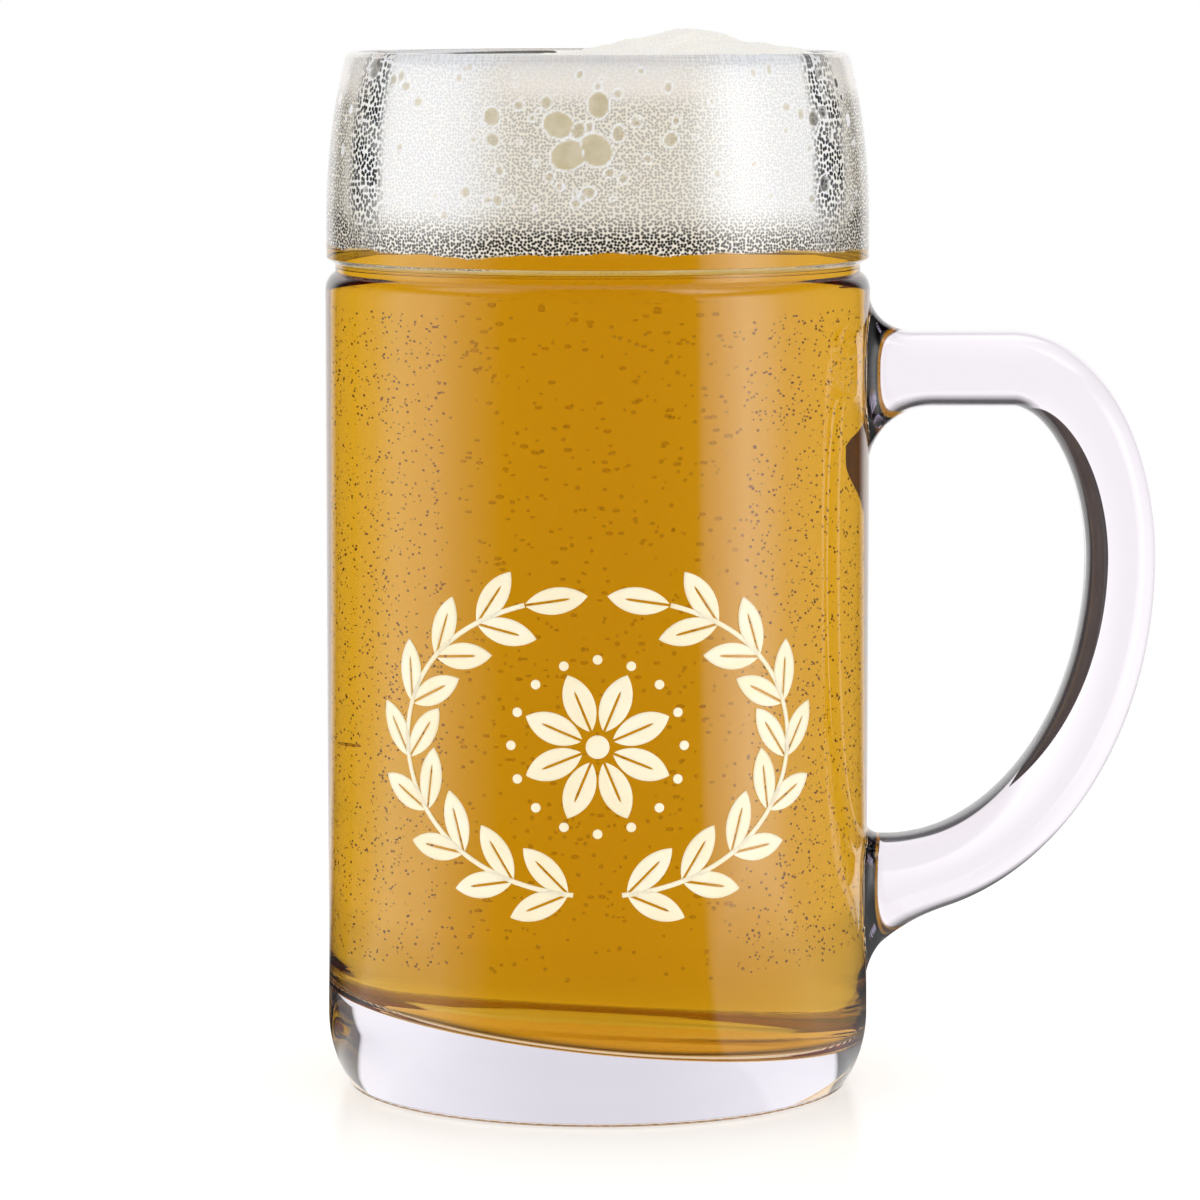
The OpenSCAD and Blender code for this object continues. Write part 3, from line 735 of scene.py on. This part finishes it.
# the foam's top: a square grid pulled onto a disc; its height is a lopsided peak towards the handle, a low
# shoulder beside it, slow swells and fine seeded waves, and it runs down to the glass at its edge
def makeCrown(material):
    c, n = crown, crown.grid
    seeded = np.random.default_rng(c.seed)
    edgeR = float(boreAt(foamEdge)) + foam.intoGlass
    disc = discGrid(1, n)
    rim = np.hypot(disc[..., 0], disc[..., 1])
    x, y = disc[..., 0] * edgeR, disc[..., 1] * edgeR
    side = np.where(x < c.peakX, c.leftW, c.rightW)
    peak = np.exp(-((x - c.peakX) / side) ** 2 - ((y - c.peakY) / c.deepW) ** 2)
    shoulder = np.exp(-((x - c.shoulderX) / c.shoulderW) ** 2 - (y / c.shoulderDeep) ** 2)
    lumps = 0.35 * np.sin(0.31 * x + 1.1) * np.sin(0.27 * y + 0.4) + 0.22 * np.sin(0.62 * x - 0.45 * y)
    lengths, heights = [np.geomspace(*ends, c.waves) for ends in (c.waveL, c.waveH)]
    for length, height in zip(lengths, heights):
        aim, start = seeded.uniform(0, 2 * np.pi, 2)
        lumps += height * np.sin(2 * np.pi / length * (x * np.cos(aim) + y * np.sin(aim)) + start)
    top = (foam.crownH + foam.edgeDrop - c.peakLess) * peak + c.shoulderH * shoulder + lumps
    top += c.lift - c.leftDip * (1 - ease(*c.dipX, x))
    upper = np.stack([x, y, foamEdge + top * (1 - ease(c.levelShare, 1.0, rim))], -1)
    lower = np.stack([x, y, np.full_like(x, foamEdge - c.under)], -1)
    lower[..., :2] *= c.underShare
    points = np.vstack([upper.reshape(-1, 3), lower.reshape(-1, 3)])
    piece = meshObject("foam_crown", points, slabFaces(n, n), material)
    for name, value in (("grown", (0, 0, c.smooth)), ("zones", (c.cellDark, 0, 0))):
        setValues(piece, name, np.tile(value, (len(points), 1)))
    corner = np.empty(len(piece.data.loops), np.int32)
    piece.data.loops.foreach_get("vertex_index", corner)
    flat = (points[corner, :2] * mm).astype(np.float32)  # the cells' map, seen from above
    piece.data.uv_layers.new(name="wall").data.foreach_set("uv", flat.ravel())
    return piece, "foam"


ornament = Values(
    middleZ=72.5, wreathW=39, wreathH=28, leafPairs=8, leafL=12, leafW=5,
    veinW=0.5, veinEnd=3.2, veinRoom=0.05, veinRound=12, leafTurn=34,
    stemW=0.9, stemCols=90, branchStart=8, branchEnd=156,
    petals=8, petalL=11.5, petalW=5.6, rosetteR=2.2, petalGap=0.8, dotR=0.9,
    gap=0.02, thick=0.2, along=41, across=5, discGrid=9, dotGrid=7,
)


# a pointed leaf between two arcs, as one strip bent round its bare vein:
# the strip's outer side runs base, tip, base on the arcs, and its inner side follows the vein
def leafGrid(length, width):
    o = ornament
    r = (length ** 2 + width ** 2) / (4 * width)
    s = np.linspace(-1, 1, o.along)
    baseX = length / 2 - np.sqrt(r ** 2 - (r - width / 2 + o.veinW / 2 + o.veinRoom) ** 2)
    x = length - (length - baseX) * np.abs(s)
    y = np.maximum(np.sqrt(np.maximum(r ** 2 - (x - length / 2) ** 2, 0)) - (r - width / 2), 0) * np.sign(s)
    outer = np.column_stack([x, y])
    veinTip = length - o.veinEnd
    veinY = o.veinW / 2 * np.tanh(o.veinRound * s)
    inner = np.column_stack([veinTip - (veinTip - baseX) * np.abs(s), veinY])
    t = np.linspace(0, 1, o.across)[:, None, None]
    return inner[None] * (1 - t) + outer[None] * t


# turns a flat grid by an angle and moves it
def moved(grid, x, y, angle=0.0):
    c, s = np.cos(angle), np.sin(angle)
    u, v = grid[..., 0], grid[..., 1]
    return np.stack([x + c * u - s * v, y + s * u + c * v], -1)


# a point of the wreath's oval, with even steps along it
def wreathPoint(a):
    o = ornament
    even = a - (o.wreathW - o.wreathH) / (o.wreathW + o.wreathH) * np.sin(2 * a) / 2
    return np.stack([o.wreathW * np.sin(even), -o.wreathH * np.cos(even)], -1)


# flat grids of one branch: a stem along the oval, leaf pairs and an end leaf
def branchGrids():
    o = ornament
    start, end = np.radians([o.branchStart, o.branchEnd])
    a = np.linspace(start, end, o.stemCols)
    middle = wreathPoint(a)
    ahead = np.gradient(middle, axis=0)
    side = np.column_stack([-ahead[:, 1], ahead[:, 0]]) / np.hypot(*ahead.T)[:, None]
    across = np.linspace(-0.5, 0.5, 3)[:, None, None] * o.stemW
    grids = [middle[None] + side[None] * across]
    step = (end - start) / o.leafPairs
    for k in range(o.leafPairs + 1):
        p = wreathPoint(start + step * k)
        q = wreathPoint(start + step * (k + 1)) - p
        facing = np.arctan2(q[1], q[0])
        turns = np.radians([-o.leafTurn, o.leafTurn]) if k < o.leafPairs else [0.0]
        root = p + o.stemW * q / np.hypot(*q) if k < o.leafPairs else p
        grids += [moved(leafGrid(o.leafL, o.leafW), root[0], root[1], facing + t) for t in turns]
    return grids


# flat grids of the rosette: a disc, petals round it and a ring of dots
def rosetteGrids():
    o = ornament
    first = o.rosetteR + o.petalGap
    ringR = first + o.petalL + 2 * o.dotR
    grids = [discGrid(o.rosetteR, o.discGrid)]
    for k in range(o.petals):
        a = 2 * np.pi * (k + 0.5) / o.petals
        grids.append(moved(leafGrid(o.petalL, o.petalW), first * np.cos(a), first * np.sin(a), a))
    for k in range(2 * o.petals):
        a = np.pi * k / o.petals
        grids.append(moved(discGrid(o.dotR, o.dotGrid), ringR * np.cos(a), ringR * np.sin(a)))
    return grids


# wraps each flat grid round the barrel and gives it the enamel's thickness and closed edges
def makeOrnament():
    o = ornament
    right = branchGrids()
    mirrored = [g[:, ::-1] * np.array([-1, 1]) for g in right]
    points, faces, first = [], [], 0
    for grid in right + mirrored + rosetteGrids():
        rows, cols = grid.shape[:2]
        for radius in (bodyR + o.gap + o.thick, bodyR + o.gap):
            wrapped = around(radius, grid[..., 0] / bodyR, o.middleZ + grid[..., 1])
            points.append(wrapped.reshape(-1, 3))
        slab = slabFaces(rows, cols)
        p = grid.reshape(-1, 2)[slab[0][0]]
        (ax, ay), (bx, by) = p[1] - p[0], p[3] - p[0]
        if ax * by < ay * bx:  # the grid runs clockwise
            slab = [block[:, ::-1] for block in slab]
        faces += [block + first for block in slab]
        first += 2 * rows * cols
    piece = meshObject("enamel_print", np.vstack(points), faces, firedEnamel())
    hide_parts("printed_ornament")
    return piece, "enamel_print"


foamMaterial = beerFoam()
for make in (makeMug, makeHandle, makeBeer, makeBubbles, lambda: makeFoam(foamMaterial),
             lambda: makeCrown(foamMaterial), makeOrnament):
    made, slotName = make()
    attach(made, "root")
    print("made", made.name, "with", len(made.data.polygons), "faces")


studio = Values(
    camera=(0.45, -1075, 215), aim=(0.45, 0, 94), lens=167.2, sensor=36, clipEnd=50,
    ambient=0.75, lampAim=(0, 0, 110), floorR=(30, 9000), floorRings=24, floorSteps=64,
    floorDrop=0.15, floorGlow=0.22, floorFill=0.9,
    nearFloor=160, farFloor=520, nearLevel=0.97,
    # black flags: from (x, y), to (x, y), their heights and the share of the width left at their ends
    flagGrid=(17, 5), flagTaper=(0.6, 0.75),
    flags=dict(handle_flag=((130, 104), (196, 88), (0, 320), 1),
               root_flag=((-27.4, 73.6), (-11.8, 86.8), (99, 123), 0.1),
               rim_flag_left=((-47, 58), (-33, 58), (166, 196), 1),
               rim_flag_right=((-27, 58), (-8, 58), (166, 196), 1)),
    # the room's brightness by the turn about Z, 0.5 being straight behind the mug and more to the right:
    # what rays bent by glass see, and what mirrored rays see as a share of the strips' level
    bentStops=((0, 0.9), (0.25, 0.8), (0.28, 0.16), (0.345, 0.1), (0.349, 1.22), (0.38, 1.2), (0.42, 1.14),
               (0.46, 1.04), (0.48, 1), (0.52, 1), (0.54, 1.04), (0.58, 1.14), (0.62, 1.2), (0.651, 1.22),
               (0.655, 0.1), (0.72, 0.16), (0.75, 0.8), (1, 0.9)),
    mirrorStops=((0, 0.008), (0.11, 0.008), (0.156, 0.18), (0.2, 0.44), (0.255, 0.42), (0.297, 0.12),
                 (0.34, 0.01), (0.4, 0.01), (0.425, 0.25), (0.575, 0.25), (0.6, 0.01), (0.64, 0.04),
                 (0.69, 0.09), (0.73, 0.17), (0.766, 0.29), (0.796, 0.64), (0.824, 0.88), (0.85, 0.58),
                 (0.877, 0.28), (0.885, 0.01), (1, 0.008)),
    stripLevel=4,
    # and by the height that a ray looks to, 1 being straight up
    overheadStops=((0, 1), (0.3, 1), (0.5, 0.1), (0.62, 0.1), (0.7, 0.9), (0.85, 0.9), (1, 0.1)),
)
# softboxes and fills: place and size in millimetres, and radiance (1 is white)
lamps = {
    "top_softbox": ((0, 150, 1000), (900, 700), 0.6),
    "left_softbox": ((-900, -60, 260), (420, 900), 1.42),
    "right_softbox": ((860, -210, 260), (420, 900), 1.5),
    "front_fill": ((-250, -1500, 700), (1200, 900), 0.68),
    "left_fill": ((-800, -700, 420), (500, 600), 1.1),
    "right_fill": ((800, -700, 420), (500, 600), 1.1),
}


# turns an object's -Z axis to look from one point to another, with +Z kept up
def lookAt(obj, place, aim):
    towards = np.array(aim) - np.array(place)
    obj.location = (np.array(place) * mm).tolist()
    flat = np.hypot(towards[0], towards[1])
    obj.rotation_euler = (np.pi / 2 + np.arctan2(towards[2], flat), 0, np.arctan2(-towards[0], towards[1]))


def makeCamera():
    lens = bpy.data.cameras.new("photo_camera")
    lens.lens, lens.sensor_width, lens.clip_end = studio.lens, studio.sensor, studio.clipEnd
    holder = addObject("photo_camera", lens)
    lookAt(holder, studio.camera, studio.aim)
    scene.camera = holder


# a lamp's power in watts is its radiance times pi times its area; glass sees the room in its place
def makeLamps():
    for name, (at, (width, height), radiance) in lamps.items():
        data = bpy.data.lights.new(name, "AREA")
        data.shape, data.size, data.size_y = "RECTANGLE", width * mm, height * mm
        data.energy = radiance * np.pi * data.size * data.size_y
        holder = addObject(name, data)
        lookAt(holder, at, studio.lampAim)
        holder.visible_camera = holder.visible_transmission = holder.visible_glossy = False


# the room as glass shows it: bent rays see white behind the mug between grey gaps to its sides,
# and mirrored rays see a dark studio with a soft strip of light on each side
def roomLevel(tree, towards):
    split = addNode(tree, "SeparateXYZ", None, {0: towards})
    angle = addNode(tree, "Math", {"operation": "ARCTAN2"}, {0: split.outputs["X"], 1: split.outputs["Y"]})
    share = addNode(tree, "Math", {"operation": "MULTIPLY_ADD", 1: 0.5 / np.pi, 2: 0.5}, {0: angle})
    bent = addNode(tree, "ValToRGB", None, {0: share}, studio.bentStops)
    strips = addNode(tree, "ValToRGB", None, {0: share}, studio.mirrorStops)
    mirrored = addNode(tree, "Math", {"operation": "MULTIPLY", 1: studio.stripLevel}, {0: strips})
    path = addNode(tree, "LightPath")
    return addNode(tree, "Mix", None,
                   {"Factor": path.outputs["Is Transmission Ray"], "A": mirrored, "B": bent})


# white paper: lit and shaded near the mug with a little glow of its own, plain white further out; glass
# sees it as it sees the room
def whiteFloor():
    material, tree = newMaterial("white_floor")
    place = addNode(tree, "TexCoord")
    path = addNode(tree, "LightPath")
    grain = addNode(tree, "TexNoise", {"Scale": 1 / (1.5 * mm), "Detail": 2.0},
                    {"Vector": place.outputs["Object"]})
    tone = addNode(tree, "Mix", {**rgba, "A": colour("FAFAFA"), "B": colour("FFFFFF")}, {"Factor": grain})
    paper = addNode(tree, "BsdfPrincipled",
                    {"Roughness": 0.16, "IOR": 1.12, "Emission Color": pureWhite,
                     "Emission Strength": studio.floorGlow}, {"Base Color": tone})
    glassy = addNode(tree, "Math", {"operation": "MAXIMUM"},
                     {0: path.outputs["Is Glossy Ray"], 1: path.outputs["Is Transmission Ray"]})
    away = addNode(tree, "VectorMath", {"operation": "LENGTH"}, {0: place.outputs["Object"]})
    far = addNode(tree, "MapRange", {"interpolation_type": "SMOOTHSTEP", "From Min": studio.nearFloor * mm,
                                     "From Max": studio.farFloor * mm}, {"Value": away.outputs["Value"]})
    # no strips shine from near the foot
    most = addNode(tree, "Math", {"operation": "MULTIPLY_ADD", 1: studio.stripLevel, 2: studio.nearLevel},
                   {0: far})
    room = addNode(tree, "Math", {"operation": "MINIMUM"},
                   {0: roomLevel(tree, place.outputs["Object"]), 1: most})
    level = addNode(tree, "Mix", {"A": studio.floorFill}, {"Factor": glassy, "B": room})
    shown = addNode(tree, "Math", {"operation": "MAXIMUM"}, {0: level, 1: path.outputs["Is Camera Ray"]})
    white = addNode(tree, "Emission", {"Color": pureWhite}, {"Strength": shown})
    edge = addNode(tree, "Math", {"operation": "MAXIMUM"}, {0: far, 1: glassy})
    mixed = addNode(tree, "MixShader", None, {0: edge, 1: paper, 2: white})
    addNode(tree, "OutputMaterial", None, {"Surface": mixed})
    return material


# floor disc: rings of growing radius round the origin, just under the foot
def makeFloor():
    radii = np.append(0, np.geomspace(*studio.floorR, studio.floorRings))
    profile = np.column_stack([radii, np.full(len(radii), -studio.floorDrop)])
    grid = turn(profile, studio.floorSteps)
    rows, cols = grid.shape[:2]
    points = np.vstack([grid[:1, 0], grid[1:].reshape(-1, 3)])
    faces = [poleFaces(0, 1, cols), gridFaces(rows - 1, cols, True, 1)[:, ::-1]]
    floor = meshObject("floor", points, faces, whiteFloor())


# matt black card: draws the dark lines inside the handle, beside its upper root and along the rim's back
def blackCard():
    material, tree = newMaterial("black_card")
    place = addNode(tree, "TexCoord")
    grain = addNode(tree, "TexNoise", {"Scale": 1 / (12 * mm), "Detail": 3.0},
                    {"Vector": place.outputs["Object"]})
    tone = addNode(tree, "Mix", {**rgba, "A": colour("2A2521"), "B": colour("4A433E")}, {"Factor": grain})
    card = addNode(tree, "Emission", {"Strength": 1.0}, {"Color": tone})
    addNode(tree, "OutputMaterial", None, {"Surface": card})
    return material


# upright cards, tapered to their ends: one behind the handle's right, outside the picture, one behind the
# upper root and two low behind the rim; only rays bent by glass see them
def makeFlags():
    card = blackCard()
    rows, cols = studio.flagGrid
    widest, narrows = studio.flagTaper
    for name, (start, end, (low, high), ends) in studio.flags.items():
        share, up = np.meshgrid(np.linspace(0, 1, cols), np.linspace(0, 1, rows))
        share = share * (ends + (1 - ends) * ease(0, widest, up) * (1 - ease(narrows, 1, up)))
        x, y = [between(a, b, share) for a, b in zip(start, end)]
        points = np.stack([x, y, between(low, high, up)], -1)
        flag = meshObject(name, points, [gridFaces(rows, cols)], card)
        flag.visible_camera = flag.visible_diffuse = flag.visible_glossy = flag.visible_shadow = False


# the room: white to the camera, as glass shows it to bent and mirrored rays, dimmer overhead,
# and an even fill to all other surfaces
def makeWorld():
    world = bpy.data.worlds.new("studio_room")
    scene.world = world
    world.use_nodes = True
    tree = world.node_tree
    tree.nodes.clear()
    path = addNode(tree, "LightPath")
    way = addNode(tree, "TexCoord")
    split = addNode(tree, "SeparateXYZ", None, {0: way.outputs["Generated"]})
    overhead = addNode(tree, "ValToRGB", None, {0: split.outputs["Z"]}, studio.overheadStops)
    seen = addNode(tree, "Math", {"operation": "MULTIPLY"},
                   {0: roomLevel(tree, way.outputs["Generated"]), 1: overhead})
    glassy = addNode(tree, "Math", {"operation": "MAXIMUM"},
                     {0: path.outputs["Is Glossy Ray"], 1: path.outputs["Is Transmission Ray"]})
    level = addNode(tree, "Mix", {"A": studio.ambient}, {"Factor": glassy, "B": seen})
    straight = addNode(tree, "Mix", {"B": 1.0}, {"Factor": path.outputs["Is Camera Ray"], "A": level})
    sky = addNode(tree, "Background", {"Color": pureWhite}, {"Strength": straight})
    addNode(tree, "OutputWorld", None, {"Surface": sky})


makeCamera()
makeLamps()
makeFloor()
makeFlags()
makeWorld()
scene.view_settings.view_transform = "Standard"
scene.cycles.caustics_reflective = False
scene.cycles.caustics_refractive = False
scene.cycles.max_bounces = 32
scene.cycles.transmission_bounces = 32
scene.cycles.glossy_bounces = 12
scene.cycles.transparent_max_bounces = 32
print("studio set: camera,", len(lamps), "lamps, floor and room")

bpy.context.view_layer.update()
